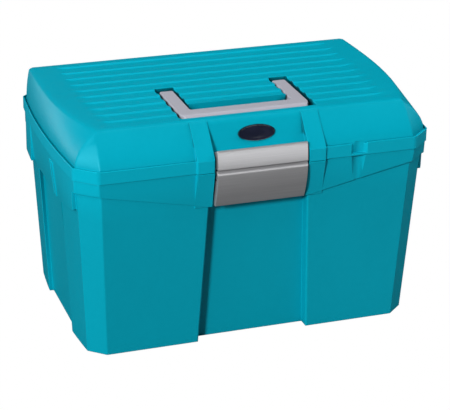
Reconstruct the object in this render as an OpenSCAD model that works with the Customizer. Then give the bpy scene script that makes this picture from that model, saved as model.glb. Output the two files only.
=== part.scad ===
// Moulded grooming box with a hinged lid, a carry handle in the roof, a wide front latch
// and a lift-out tray. Millimetres, +Z up, front towards -Y, origin on the floor under the middle.

/* [Overall] */
// Length over the lid flange, at the middle of the bowed ends
box_length = 400; // [380:1:430]
// Depth over the lid flange, front to back
box_depth = 258; // [246:1:280]
// Height from the floor to the top of the roof
box_height = 247; // [227:1:272]
// Height of the lid, from the seam to the top of the roof
lid_height = 47; // [44:1:52]
// Depth of the bow of each end
end_bow = 5.7; // [3:0.1:8]
// Width of a cut corner, measured along the front
corner_width = 27.5; // [22:0.5:32]
// Depth of a cut corner, measured along the end
corner_depth = 19.5; // [15:0.5:24]

/* [Base] */
// Wall thickness of the base and of the lid
wall = 3; // [2.4:0.1:3.4]
// Thickness of the floor
floor_t = 3.5; // [2.5:0.1:5]
// Inset of the base wall from the lid flange, at the floor
foot_inset = 15; // [12:0.5:18]
// Inset of the base wall from the lid flange, at the seam
rim_inset = 4.5; // [3.5:0.1:5.5]
// Depth of the centre recess between the two bays
recess_depth = 12; // [9:0.5:14]
// Width of the centre recess beyond the latch's bay on each side, at the seam
recess_side = 1; // [0.5:0.5:5]
// Widening of the centre recess on each side, from the seam to the floor
recess_flare = 9; // [5:0.5:15]
// Depth of the sunk panel in each end
panel_depth = 6.2; // [3:0.1:7]
// Half width of the sunk panel in each end
panel_half = 51; // [45:1:60]

/* [Collar] */
// Height of the plain collar band under the seam
band_h = 14; // [10:1:18]
// Depth of the front collar plates beside the latch
plate_drop = 40; // [34:1:44]
// Depth of the end collars
end_drop = 46; // [40:1:48]
// Depth of the end collars at their outer edges
end_edge_drop = 35; // [28:1:38]
// Distance of the end collar's edges from the flange, at the front and back
end_collar_gap = 28; // [25:1:35]
// Width of the rear buttress on each end
buttress_w = 35; // [20:1:40]
// Width of the pilasters beside the latch
pilaster_w = 19; // [14:0.5:22]
// Width of the half-round padlock channel
channel_w = 18; // [14:0.5:22]
// Depth of the half-round padlock channel
channel_d = 4.5; // [3:0.1:5]
// Distance of the padlock channel from the middle
channel_x = 108; // [100:1:116]

/* [Lid] */
// Height of the proud flange around the lid
flange_h = 14; // [12:0.5:16]
// Inset of the lid's sloped faces from the flange
face_inset = 3.5; // [2.5:0.1:4.5]
// Setback of the roof's front edge from the flange
roof_setback = 27.5; // [23:0.5:31]
// Setback of the roof's rear edge from the flange
roof_rear_setback = 18; // [14:0.5:22]
// Inset of the roof's front corners from the flange at the ends
roof_corner_inset = 31.5; // [28:0.5:36]
// Inset of the roof's ends from the flange, towards the back
roof_end_inset = 13; // [10:0.5:15]
// Bow of the roof's ends
roof_bow = 3; // [0:0.2:5]
// Height of the rounded edge around the roof
edge_h = 2.6; // [2:0.2:4]
// Width of the rounded edge around the roof
edge_w = 6.5; // [5:0.5:9]
// Distance between the roof's ridges
rib_pitch = 19.3; // [18:0.1:19.6]
// Width of a ridge
rib_w = 6.5; // [4:0.1:9]
// Depth of the channels between the ridges
rib_h = 1.6; // [1:0.1:1.9]
// Distance of the front channel's ends from the roof's front corners
rib_front_gap = 9; // [9:0.5:28]
// Distance of the rear channel's ends from the roof's ends
rib_rear_gap = 21.5; // [21:0.5:36]
// Run of the slope at each end of a channel
rib_ramp = 9; // [5:0.5:12]

/* [Handle] */
// Half width over the handle's arms
handle_half = 71.5; // [66:0.5:78]
// Width of an arm
arm_w = 15.5; // [13:0.5:19]
// Thickness of arms and grip
handle_t = 11.5; // [9:0.5:12.5]
// Width of the grip, front to back
grip_w = 18; // [14:0.5:20]
// Reach from the pivot to the front of the grip
handle_reach = 69.5; // [60:0.5:70]
// Length of the arms behind the pivot
arm_tail = 9; // [6:0.5:9]
// Radius of the handle pins
handle_pin_r = 2.5; // [2:0.1:3]
// Depth of the handle's top below the roof
handle_sink = 1.5; // [1:0.1:3]
// Depth of the handle well
well_depth = 22; // [20:0.5:24]

/* [Latch] */
// Half width of the latch
latch_half = 49; // [44:0.5:50]
// Gap between the latch and the pilasters beside it
latch_side_gap = 2; // [1:0.1:2.4]
// Height of the upper plate above the lever
plate_h = 20; // [16:0.5:22]
// Length of the lever below its pin
lever_len = 36.5; // [30:0.5:42]
// Radius of the latch's bowed front
latch_bow_r = 92; // [85:1:130]
// Thickness of the lever's skin
lever_t = 3.2; // [2.4:0.1:4]
// Radius of the roll around the latch pin
roll_r = 5.5; // [4.5:0.1:6]
// Radius of the latch pin
latch_pin_r = 1.5; // [1:0.1:2]

/* [Hinge] */
// Radius of the hinge knuckles
knuckle_r = 5; // [4:0.1:5.2]
// Radius of the hinge pins
hinge_pin_r = 2; // [1.5:0.1:2.5]
// Distance of each hinge from the flange's end
hinge_end_gap = 62; // [55:1:100]
// Length of the lid's knuckle
lid_knuckle_len = 15; // [10:0.5:20]
// Length of each base knuckle
base_knuckle_len = 12; // [8:0.5:16]

/* [Tray] */
// Distance of the tray's body from the flange's ends
tray_end_gap = 32; // [30:1:50]
// Distance of the tray's body from the flange, at the front and back
tray_side_gap = 31; // [30:1:49]
// Height of the tray
tray_h = 50; // [40:1:60]
// Wall thickness of the tray
tray_wall = 2.2; // [1.8:0.1:3]
// Width of the tray's end flanges
tray_flange = 10; // [8:0.5:11]
// Thickness of a tray divider
divider_t = 2; // [1.5:0.1:2.4]
// Distance of the dividers from the middle
divider_x = 60; // [52:1:100]

/* [Badge] */
// Half width of the oval badge
badge_half_w = 20; // [14:0.5:22]
// Half height of the oval badge
badge_half_h = 8.4; // [7:0.1:10]
// Thickness of the badge
badge_t = 1.6; // [1:0.1:2.5]

/* [Fits] */
// Gap between base and lid at the seam
seam_gap = 0.4; // [0.3:0.05:0.6]
// Gap between parts that move past each other
run_gap = 0.4; // [0.3:0.05:0.6]
// Radial clearance of a pin in its bore
pin_gap = 0.05; // [0.02:0.01:0.1]

/* [Hidden] */
$fn = 48;

// Colours
turquoise = [0.0, 0.62, 0.70];
grey = [0.74, 0.72, 0.74];
steel = [0.62, 0.63, 0.65];
navy = [0.06, 0.07, 0.10];
pale_grey = [0.80, 0.81, 0.82];

// Overrun of cuts past the faces they open
over = 1;

// Plan: how far a corner point slides along its edge for each unit of inset
corner_share = 0.72;
end_steps = 12;
channel_steps = 8;
half_l = box_length / 2;
half_d = box_depth / 2;
seam_height = box_height - lid_height;

// Seam faces
base_top = seam_height - seam_gap / 2;
lid_bottom = seam_height + seam_gap / 2;

// Base insets at the foot and the rim, seen from the front
front_rim = half_d - rim_inset;
recess_rim_y = front_rim - recess_depth;
catch_proud = 5.4;
latch_face = recess_rim_y + catch_proud;
catch_h = 20;
latch_bay_half = latch_half + latch_side_gap;
recess_half_rim = latch_bay_half + recess_side;
recess_half_foot = recess_half_rim + recess_flare;
catch_z = base_top - catch_h;

// Collar: inset of its face from the flange at the seam, at the lower edge, and at the ends
collar_inset = 1.2;
collar_low_inset = 5.7;
end_collar_inset = 1.2;
collar_low = seam_height - end_drop - over;
end_collar_half = half_d - end_collar_gap;
buttress_y = end_collar_half - buttress_w;
pilaster_proud = 2.4;
pilaster_top = 2.2;
vent_rib_w = 4;
vent_rib_gap = 8;
vent_rib_y = 32;
vent_rib_proud = 1.2;

// Padlock channel: radius of the half-round cut and the tab left under the lid flange
channel_r = (channel_w * channel_w / 4 + channel_d * channel_d) / (2 * channel_d);
tab_t = 2.2;

// Lid levels
flange_top = seam_height + flange_h;
lip_w = 1.3;
groove_d = 2;
edge_z = box_height - edge_h;
face_steps = 6;
front_curve_power = 1.25;
end_curve_power = 1.9;
taper_curve_power = 3.4;
edge_z_shares = [0, 0.55, 0.875, 1];
edge_w_shares = [0, 0.2, 0.5, 1];
roof_front = half_d - roof_setback;
roof_rear = half_d - roof_rear_setback;
roof_corner_x = half_l - roof_corner_inset;
roof_end_x = half_l - roof_end_inset;
corner_tip = 0.8;
rear_tip = 2.5;
roof_rear_corner_x = roof_end_x - rear_tip;
roof_rear_end_y = roof_rear - rear_tip;

// Latch recess in the lid's front
recess_face = latch_face + seam_gap;
recess_knee = seam_height + flange_h + over;
recess_top_y = roof_front + over;
recess_top_z = edge_z + seam_gap;

// Ridged roof: as many channels as fit between its plain margins
roof_margin = 9;
rib_front_y = -(roof_front - roof_margin) + rib_pitch / 2;
rib_count = floor((roof_front + roof_rear - 2 * roof_margin) / rib_pitch);
rib_half_front = roof_corner_x - rib_front_gap;
rib_half_rear = roof_end_x - rib_rear_gap;

// Handle and its well
handle_top = box_height - handle_sink;
handle_bottom = handle_top - handle_t;
pivot_z = handle_bottom + handle_t / 2;
well_floor = box_height - well_depth;
well_side_gap = 3.5;
well_inner_gap = 1.8;
well_front_gap = 10;
well_rear_gap = 6;
grip_gap = 12;
well_front_y = -(roof_front - roof_margin) + over;
pivot_y = well_front_y + well_front_gap + handle_reach;
well_rear_y = pivot_y + arm_tail + well_rear_gap;
arm_inner = handle_half - arm_w;
well_half = handle_half + well_side_gap;
island_half = arm_inner - well_inner_gap;
grip_front_y = pivot_y - handle_reach;
grip_rear_y = grip_front_y + grip_w;
island_front_y = grip_rear_y + grip_gap;
grip_bevel = 3;
corner_cut = 9;
pin_wall = 3.5;

// Latch
latch_front_y = -(half_d + roll_r - run_gap);
latch_pin_y = latch_front_y + roll_r;
latch_pin_z = seam_height - roll_r / 2;
latch_bow_z = latch_pin_z + 2;
bow_steps = 5;
plate_low = latch_pin_z + roll_r + run_gap;
plate_top = plate_low + plate_h;
plate_skin = 4;
plate_edge = 2;
plate_tuck = 6;
ear_t = 3.2;
ear_r = 3.4;
ear_low = 2.6;
ear_high = 1.2;
ear_angles = [-54, 118];
ear_steps = 6;
cheek_gap = 1.6;
nib_drop = 17;
nib_h = 5;
lever_lip = 3;
screw_x = 30;
screw_r = 1.8;
screw_head_r = 3.5;
screw_head_h = 2.2;
screw_len = 9;
boss_r = 4.5;
screw_z = plate_low + plate_skin + boss_r / 2;

// Hinge
hinge_x = half_l - hinge_end_gap;
hinge_y = half_d + knuckle_r + run_gap;
knuckle_gap = run_gap;
hinge_len = lid_knuckle_len + 2 * base_knuckle_len + 2 * knuckle_gap;
web_h = 9;

// Tray and its ledges
tray_half = half_l - tray_end_gap;
tray_depth_half = half_d - tray_side_gap;
ledge_h = 12;
ledge_half = 40;
rim_t = 3;
tray_top = seam_height - ledge_h;
tray_low = tray_top - tray_h;
ledge_top = tray_top - rim_t;
spine_t = 3;
slot_half = 48;
slot_h = 20;
slot_drop = 7;
guide_w = 2;
guide_d = 2.5;
divider_drop = 6;

// Badge on the sloped floor of the latch recess
badge_share = 0.53;
badge_lean = atan2(recess_face - recess_top_y, recess_top_z - recess_knee);
badge_steps = 40;
badge_border = 1.2;
badge_border_h = 0.5;

// Straight blend between two values
function lerp(a, b, t) = a + (b - a) * t;

// Whole outline from its right half, which runs from front to back
function whole(half) = concat(half, [for (i = [len(half) - 1 : -1 : 0]) [-half[i][0], half[i][1]]]);

// Right half of a plain outline with cut corners and a bowed end
function ring_half(front, corner_x, end_y, end_x, bow) = concat(
    [[corner_x, -front]],
    [for (i = [0 : end_steps]) let (y = lerp(-end_y, end_y, i / end_steps))
        [end_x - bow * pow(y / end_y, 2), y]],
    [[corner_x, front]]);

// Plain outline at an inset from the lid flange
function ring(inset) = whole(ring_half(
    half_d - inset,
    half_l - corner_width - inset * corner_share,
    half_d - corner_depth - inset * corner_share,
    half_l - inset,
    end_bow));

// Inset of the base wall at height z
function base_inset(z) = lerp(foot_inset, rim_inset, z / seam_height);

// Outline of the centre recess at height z, moved inwards by t
function recess_outline(z, t) = let (
    half = lerp(recess_half_foot, recess_half_rim, z / seam_height) + t,
    near = half_d - base_inset(z) - recess_depth - t)
    [[-half, -(half_d + over)], [half, -(half_d + over)], [half, -near], [-half, -near]];

// Outline of the sunk panel in the right end at height z, moved inwards by t
function panel_outline(z, t) = let (
    half = panel_half + t,
    near = half_l - base_inset(z) - panel_depth - t)
    [[near, -half], [half_l + over, -half], [half_l + over, half], [near, half]];

// Lid outline: s runs from 0 at the flange to 1 at the roof's edge, t moves it inwards
function lid_half(s, t) = let (
    f = pow(s, front_curve_power),
    e = pow(s, end_curve_power),
    face_corner_x = half_l - corner_width - face_inset * corner_share,
    face_end_y = half_d - corner_depth - face_inset * corner_share,
    front = lerp(half_d - face_inset, roof_front, f) - t,
    rear = lerp(half_d - face_inset, roof_rear, e) - t,
    front_end = lerp(face_end_y, roof_front - corner_tip, f) - t,
    rear_end = lerp(face_end_y, roof_rear_end_y, e) - t)
    concat(
        [[lerp(face_corner_x, roof_corner_x - corner_tip, f) - t, -front]],
        [for (i = [0 : end_steps]) let (
            u = i / end_steps,
            face_x = half_l - face_inset - end_bow * pow(2 * u - 1, 2),
            roof_x = roof_end_x - (roof_end_x - roof_corner_x) * pow(1 - u, taper_curve_power)
                + roof_bow * (1 - pow(2 * u - 1, 2)))
            [lerp(face_x, roof_x, e) - t, lerp(-front_end, rear_end, u)]],
        [[lerp(face_corner_x, roof_rear_corner_x, e) - t, rear]]);

// Outline with round ends of radius r, whose middles lie at reach from the centre
function channel_outline(reach, r) = [
    for (side = [1, -1]) for (i = [0 : channel_steps]) let (a = 180 * (i / channel_steps - 1 / 2))
        [side * (reach + r * cos(a)), side * r * sin(a)]];

// Place of the latch's bowed front at height z
function bow_y(z) = latch_front_y + pow(z - latch_bow_z, 2) / (2 * latch_bow_r);

// Points of the latch's bowed front from height z0 to z1
function bow(z0, z1) = [for (i = [0 : bow_steps]) let (z = lerp(z0, z1, i / bow_steps)) [bow_y(z), z]];

// Layers of the lid's upper body, moved inwards by t and down by drop
function lid_layers(t, drop) = concat(
    [[flange_top - groove_d - over - drop, whole(lid_half(0, t))]],
    [for (i = [0 : face_steps]) let (s = i / face_steps)
        [lerp(flange_top, edge_z, s) - drop, whole(lid_half(s, t))]],
    [for (i = [1 : len(edge_z_shares) - 1])
        [edge_z + edge_h * edge_z_shares[i] - drop, whole(lid_half(1, t + edge_w * edge_w_shares[i]))]]);

// Solid through a stack of outlines with the same number of points
module loft(layers) {
    n = len(layers[0][1]);
    m = len(layers);
    points = [for (layer = layers) for (p = layer[1]) [p[0], p[1], layer[0]]];
    bottom = [[for (i = [0 : n - 1]) i]];
    top = [[for (i = [n - 1 : -1 : 0]) (m - 1) * n + i]];
    sides = [for (k = [0 : m - 2]) for (i = [0 : n - 1])
        let (a = k * n + i, b = k * n + (i + 1) % n)
        each [[a, a + n, b + n], [a, b + n, b]]];
    polyhedron(points, concat(bottom, sides, top));
}

// Box between two corners
module span(low, high) {
    translate(low) cube(high - low);
}

// Bar along X, from x0 to x1, with its outline given as [y, z]
module bar_x(x0, x1, outline) {
    translate([x0, 0, 0]) rotate([90, 0, 90]) linear_extrude(x1 - x0) polygon(outline);
}

// Plate along Y, from y0 to y1, with its outline given as [x, z]
module plate_y(y0, y1, outline) {
    translate([0, y1, 0]) rotate([90, 0, 0]) linear_extrude(y1 - y0) polygon(outline);
}

// Round bar along X
module rod_x(x0, x1, y, z, r) {
    translate([x0, y, z]) rotate([0, 90, 0]) cylinder(h = x1 - x0, r = r);
}

// Round bar along Y
module rod_y(y0, y1, x, z, r) {
    translate([x, y1, z]) rotate([90, 0, 0]) cylinder(h = y1 - y0, r = r);
}

// The same shape on both sides of the middle
module both_sides() {
    children();
    mirror([1, 0, 0]) children();
}

// Tub from height z0 to z1 with its recesses and sunk panels, moved inwards by t
module tub(z0, z1, t) {
    low = z0 - over;
    high = z1 + over;
    difference() {
        loft([[z0, ring(base_inset(z0) + t)], [z1, ring(base_inset(z1) + t)]]);
        loft([[low, recess_outline(low, t)], [high, recess_outline(high, t)]]);
        mirror([0, 1, 0]) loft([[low, recess_outline(low, t)], [high, recess_outline(high, t)]]);
        both_sides() loft([[low, panel_outline(low, t)], [high, panel_outline(high, t)]]);
    }
}

// Collar body, from its low edge to the seam; extra makes it prouder
module collar_body(extra) {
    low_end_x = half_l - end_bow - end_collar_inset;
    low = ring_half(
        half_d - collar_low_inset + extra,
        half_l - corner_width - collar_low_inset * corner_share,
        half_d - corner_depth - collar_low_inset * corner_share,
        low_end_x + extra,
        0);
    high = ring_half(
        half_d - collar_inset + extra,
        half_l - corner_width - collar_inset * corner_share,
        half_d - corner_depth - collar_inset * corner_share,
        half_l - end_collar_inset + extra,
        end_bow);
    loft([[collar_low, whole(low)], [base_top, whole(high)]]);
}

// Where the collar covers the wall: the band, the front plates and the ends
module collar_mask() {
    band_z = base_top - band_h;
    far = half_l + over;
    span([-far, -half_d, band_z], [far, half_d, base_top]);
    plate_y(-half_d, -half_d + corner_depth, [
        [-(half_l - corner_width), base_top], [-(half_l - corner_width), band_z],
        [-latch_bay_half, base_top - plate_drop], [latch_bay_half, base_top - plate_drop],
        [half_l - corner_width, band_z], [half_l - corner_width, base_top]]);
    end_outline = [
        [-end_collar_half, base_top], [-end_collar_half, base_top - end_edge_drop],
        [-panel_half, base_top - end_drop], [panel_half, base_top - end_drop],
        [end_collar_half, base_top - end_edge_drop], [end_collar_half, base_top]];
    both_sides() bar_x(half_l - corner_width, far, end_outline);
}

// Pair of short upright ribs on each end collar
module vent_ribs() {
    intersection() {
        collar_body(vent_rib_proud);
        both_sides() for (side = [-1, 1])
            translate([0, -vent_rib_y + side * vent_rib_gap / 2 - vent_rib_w / 2, 0])
                span([half_l - corner_width, 0, base_top - end_drop],
                     [half_l, vent_rib_w, base_top - band_h / 2]);
    }
}

// Deep block at the back of each end
module buttresses() {
    intersection() {
        translate([0, 0, base_top - end_drop]) linear_extrude(end_drop) polygon(ring(end_collar_inset));
        both_sides() span([half_l - corner_width, buttress_y, base_top - end_drop],
                          [half_l, end_collar_half, base_top]);
    }
}

// Wedge beside the latch, proud of the flange at the seam and flush with the plate at its foot
module base_pilaster() {
    bar_x(latch_bay_half, latch_bay_half + pilaster_w, [
        [-(half_d + pilaster_proud), base_top], [-(half_d - collar_low_inset), base_top - plate_drop],
        [-recess_rim_y, base_top - plate_drop], [-(recess_rim_y - wall / 2), base_top]]);
}

// Half-round upright channel for a padlock, right of the latch
module padlock_channel(z0, z1) {
    translate([channel_x, -(half_d + channel_r - channel_d), z0]) cylinder(h = z1 - z0, r = channel_r);
}

// Knuckles of the base at one hinge
module base_knuckles() {
    for (side = [-1, 1]) {
        x_mid = hinge_x + side * (lid_knuckle_len + base_knuckle_len + 2 * knuckle_gap) / 2;
        x0 = x_mid - base_knuckle_len / 2;
        x1 = x_mid + base_knuckle_len / 2;
        rod_x(x0, x1, hinge_y, seam_height, knuckle_r);
        bar_x(x0, x1, [
            [front_rim - wall / 2, base_top - web_h - knuckle_r], [hinge_y, seam_height - knuckle_r],
            [hinge_y, base_top], [front_rim - wall / 2, base_top]]);
    }
}

// Knuckle of the lid at one hinge
module lid_knuckle() {
    x0 = hinge_x - lid_knuckle_len / 2;
    x1 = hinge_x + lid_knuckle_len / 2;
    rod_x(x0, x1, hinge_y, seam_height, knuckle_r);
    bar_x(x0, x1, [
        [half_d - wall, lid_bottom], [hinge_y, lid_bottom],
        [hinge_y, seam_height + knuckle_r], [half_d - wall, lid_bottom + web_h]]);
}

// Bore through one hinge
module hinge_bore(r) {
    x0 = hinge_x - hinge_len / 2;
    rod_x(x0 - over, x0 + hinge_len + over, hinge_y, seam_height, r);
}

// Base tub with its collar, catch, knuckles and tray ledges
module base_shell() {
    color(turquoise) {
        difference() {
            union() {
                tub(0, base_top, 0);
                difference() {
                    intersection() {
                        collar_body(0);
                        collar_mask();
                    }
                    span([-latch_bay_half, -half_d, collar_low - over],
                         [latch_bay_half, -recess_rim_y, base_top + over]);
                }
                vent_ribs();
                buttresses();
                both_sides() base_pilaster();
                span([-recess_half_rim, -latch_face, catch_z],
                     [recess_half_rim, -(recess_rim_y - wall / 2), base_top]);
                both_sides() base_knuckles();
            }
            tub(floor_t, seam_height + over, wall);
            span([-(latch_bay_half - wall), recess_rim_y - wall - over, base_top - band_h + wall],
                 [latch_bay_half - wall, half_d - collar_inset - wall, seam_height + over]);
            padlock_channel(base_top - plate_drop, seam_height + over);
            both_sides() hinge_bore(hinge_pin_r);
        }
        both_sides() tray_ledge();
    }
}

// Ledge on the inside of one end, under the tray's flange
module tray_ledge() {
    x_in = tray_half + run_gap * 2;
    x_out = half_l - base_inset(ledge_top) - panel_depth - wall / 2;
    bar_outline = [
        [x_in, ledge_top], [x_out, ledge_top],
        [x_out, ledge_top - 2 * ledge_h], [x_in, ledge_top - ledge_h]];
    plate_y(-ledge_half, ledge_half, bar_outline);
}

// Space of the handle well, grown by t on its sides and floor
module handle_well(t) {
    top = box_height + over;
    low_y = well_front_y - t;
    low_z = well_floor - t;
    both_sides() span([island_half - t, low_y, low_z], [well_half + t, well_rear_y + t, top]);
    span([-(well_half + t), low_y, low_z], [well_half + t, island_front_y + t, top]);
}

// Space in front of the latch recess, moved inwards by t
module latch_recess(t) {
    half = latch_bay_half + t;
    far = half_d + wall + over;
    bar_x(-half, half, [
        [-far, seam_height - over], [-(recess_face - t), seam_height - over],
        [-(recess_face - t), recess_knee], [-(recess_top_y - t), recess_top_z],
        [-far, recess_top_z]]);
}

// Channel with round ends and sloped sides, sunk in the roof
module roof_channel(y, half) {
    r = (rib_pitch - rib_w) / 2;
    translate([0, y, 0]) loft([
        [box_height - rib_h, channel_outline(half - r - rib_ramp, r - rib_h)],
        [box_height, channel_outline(half - r, r)],
        [box_height + over, channel_outline(half - r + rib_ramp, r + over)]]);
}

// Raised strip beside the latch recess, fading out below the roof
module lid_pilaster() {
    bar_x(latch_bay_half, latch_bay_half + pilaster_w, [
        [-(half_d + pilaster_proud), lid_bottom], [-(half_d - wall - face_inset), lid_bottom],
        [-(roof_front - wall), edge_z - wall], [-(roof_front - pilaster_top), edge_z + pilaster_top],
        [-(roof_front + pilaster_top), edge_z], [-(half_d + pilaster_proud), flange_top]]);
}

// Flange around the lid, with a groove behind its lip
module flange() {
    difference() {
        translate([0, 0, lid_bottom]) linear_extrude(flange_top - lid_bottom) polygon(ring(0));
        translate([0, 0, flange_top - groove_d]) linear_extrude(groove_d + over) polygon(ring(lip_w));
    }
}

// Lid with its ridged roof, handle well, latch recess and knuckles
module lid_shell() {
    color(turquoise) difference() {
        union() {
            flange();
            loft(lid_layers(0, 0));
            both_sides() lid_pilaster();
            both_sides() lid_knuckle();
        }
        difference() {
            union() {
                loft(lid_layers(wall, wall + rib_h));
                translate([0, 0, seam_height - over]) linear_extrude(flange_h)
                    polygon(whole(lid_half(0, wall)));
            }
            handle_well(wall);
            both_sides() handle_pin_boss();
            latch_recess(wall);
        }
        handle_well(0);
        latch_recess(0);
        for (i = [0 : rib_count - 1]) {
            back = 1 - i / (rib_count - 1);
            roof_channel(rib_front_y + i * rib_pitch, lerp(rib_half_rear, rib_half_front, back * back));
        }
        padlock_channel(lid_bottom + tab_t, flange_top + over);
        both_sides() handle_pin_bore();
        both_sides() hinge_bore(hinge_pin_r + pin_gap);
        both_sides() rod_y(-(recess_face + over), -(recess_face - wall - over), screw_x, screw_z, screw_r);
    }
}

// Extra thickness around a handle pin, outside the well's walls
module handle_pin_boss() {
    x0 = island_half - pin_wall;
    rod_x(x0, well_half + pin_wall, pivot_y, pivot_z, 2 * handle_pin_r);
}

// Bore for a handle pin through both walls of the well
module handle_pin_bore() {
    x0 = island_half - pin_wall - over;
    rod_x(x0, well_half + pin_wall + over, pivot_y, pivot_z, handle_pin_r);
}

// Steel hinge pin on the given side
module hinge_pin(side) {
    x_mid = side * hinge_x;
    color(steel) rod_x(x_mid - hinge_len / 2, x_mid + hinge_len / 2, hinge_y, seam_height, hinge_pin_r);
}

module hinge_pin_left() {
    hinge_pin(-1);
}

module hinge_pin_right() {
    hinge_pin(1);
}

// Moulded bail handle lying in the well
module carry_handle() {
    y_cut = grip_front_y + corner_cut;
    x_cut = handle_half - corner_cut / 2;
    tail_y = pivot_y + arm_tail;
    color(grey) difference() {
        translate([0, 0, handle_bottom]) linear_extrude(handle_t) polygon([
            [-handle_half, tail_y], [-handle_half, y_cut], [-x_cut, grip_front_y],
            [x_cut, grip_front_y], [handle_half, y_cut], [handle_half, tail_y],
            [arm_inner, tail_y], [arm_inner, grip_rear_y],
            [-arm_inner, grip_rear_y], [-arm_inner, tail_y]]);
        bar_x(-handle_half - over, handle_half + over, [
            [grip_front_y - over, handle_top - grip_bevel - over],
            [grip_front_y + grip_bevel + over, handle_top + over],
            [grip_front_y - over, handle_top + over]]);
        both_sides() rod_x(arm_inner - over, handle_half + over, pivot_y, pivot_z, handle_pin_r + pin_gap);
    }
}

// Steel pin of one handle arm on the given side
module handle_pin(side) {
    x_mid = side * (island_half + well_half) / 2;
    half = (well_half - island_half) / 2 + pin_wall;
    color(steel) rod_x(x_mid - half, x_mid + half, pivot_y, pivot_z, handle_pin_r);
}

module handle_pin_left() {
    handle_pin(-1);
}

module handle_pin_right() {
    handle_pin(1);
}

// Hooked ear at one end of the latch plate: down behind the lever's roll, then forwards to the pin
module latch_ear() {
    x0 = latch_half - ear_t;
    back_y = latch_pin_y + roll_r + run_gap;
    rod_x(x0, latch_half, latch_pin_y, latch_pin_z, ear_r);
    bar_x(x0, latch_half, [
        [latch_pin_y, latch_pin_z - ear_low], [back_y + ear_t, latch_pin_z - ear_low],
        [back_y + ear_t, plate_low + over], [back_y, plate_low + over],
        [back_y, latch_pin_z + ear_high], [latch_pin_y, latch_pin_z + ear_high]]);
}

// Room for an ear in the end of the roll, over the lever's whole swing
module ear_room() {
    x0 = latch_half - ear_t - run_gap;
    reach = 2 * roll_r;
    sweep = ear_angles[1] - ear_angles[0];
    rod_x(x0, latch_half + over, latch_pin_y, latch_pin_z, ear_r + run_gap);
    bar_x(x0, latch_half + over, concat([[latch_pin_y, latch_pin_z]], [for (i = [0 : ear_steps])
        let (a = ear_angles[0] + sweep * i / ear_steps)
        [latch_pin_y + reach * cos(a), latch_pin_z + reach * sin(a)]]));
}

// Upper half of the latch, screwed to the lid, with an ear at each end for the pin
module latch_plate() {
    pocket_half = latch_half - ear_t - plate_skin;
    top_y = bow_y(plate_top - plate_edge);
    color(grey) {
        difference() {
            union() {
                bar_x(-latch_half, latch_half, concat(
                    [[-recess_face, plate_low]],
                    bow(plate_low, plate_top - plate_edge),
                    [[top_y + plate_edge / 2, plate_top], [top_y + plate_edge, plate_top],
                     [-recess_face, plate_top - plate_tuck]]));
                both_sides() latch_ear();
            }
            difference() {
                span([-pocket_half, top_y + plate_skin, plate_low + plate_skin],
                     [pocket_half, -recess_face + over, plate_top - plate_tuck - plate_skin]);
                both_sides() rod_y(latch_front_y, -recess_face + over, screw_x, screw_z, boss_r);
            }
            both_sides() rod_y(-(recess_face + screw_len), -recess_face + over, screw_x, screw_z, screw_r);
            rod_x(-latch_half - over, latch_half + over, latch_pin_y, latch_pin_z, latch_pin_r);
        }
    }
}

// Lower half of the latch: a roll around the pin, a leaning skin, side cheeks and a snap nib
module latch_lever() {
    low_z = latch_pin_z - lever_len;
    low_y = bow_y(low_z);
    cheek_z = latch_pin_z - roll_r - cheek_gap;
    cheek_y = bow_y(cheek_z);
    front = bow(cheek_z, low_z);
    nib_z = latch_pin_z - nib_drop;
    back_y = -(latch_face + run_gap);
    color(grey) {
        difference() {
            union() {
                rod_x(-latch_half, latch_half, latch_pin_y, latch_pin_z, roll_r);
                bar_x(-latch_half, latch_half, [
                    [bow_y(latch_pin_z), latch_pin_z], [cheek_y, cheek_z],
                    [cheek_y + lever_t, cheek_z], [latch_pin_y, latch_pin_z]]);
            }
            both_sides() ear_room();
            rod_x(-latch_half, latch_half, latch_pin_y, latch_pin_z, latch_pin_r + pin_gap);
        }
        bar_x(-latch_half, latch_half, concat(front, [
            [low_y + lever_lip, low_z], [low_y + lever_t, low_z + lever_lip], [cheek_y + lever_t, cheek_z]]));
        both_sides() bar_x(latch_half - lever_t, latch_half, concat(front, [
            [low_y + lever_lip, low_z], [back_y, nib_z - nib_h], [back_y, cheek_z]]));
        bar_x(-latch_half / 2, latch_half / 2, [
            [low_y, nib_z - nib_h], [back_y, nib_z - nib_h / 2],
            [back_y, nib_z], [cheek_y + lever_t, nib_z + nib_h]]);
    }
}

// Steel pin through both ears and the lever's roll
module latch_pin() {
    color(steel) rod_x(-latch_half, latch_half, latch_pin_y, latch_pin_z, latch_pin_r);
}

// Two screws from inside the lid into the latch plate
module latch_screws() {
    inner = -(recess_face - wall);
    color(steel) both_sides() {
        rod_y(inner - wall - screw_len, inner, screw_x, screw_z, screw_r);
        rod_y(inner, inner + screw_head_h, screw_x, screw_z, screw_head_r);
    }
}

// Oval outline, moved inwards by t
module oval(t) {
    polygon([for (i = [0 : badge_steps - 1]) let (a = 360 * i / badge_steps)
        [(badge_half_w - t) * cos(a), (badge_half_h - t) * sin(a)]]);
}

// Plain oval badge with a raised border, on the sloped floor of the latch recess
module badge() {
    y = lerp(-recess_face, -recess_top_y, badge_share);
    z = lerp(recess_knee, recess_top_z, badge_share);
    color(navy) translate([0, y, z]) rotate([90 - badge_lean, 0, 0]) difference() {
        linear_extrude(badge_t) oval(0);
        translate([0, 0, badge_t - badge_border_h]) linear_extrude(badge_border_h + over) oval(badge_border);
    }
}

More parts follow.
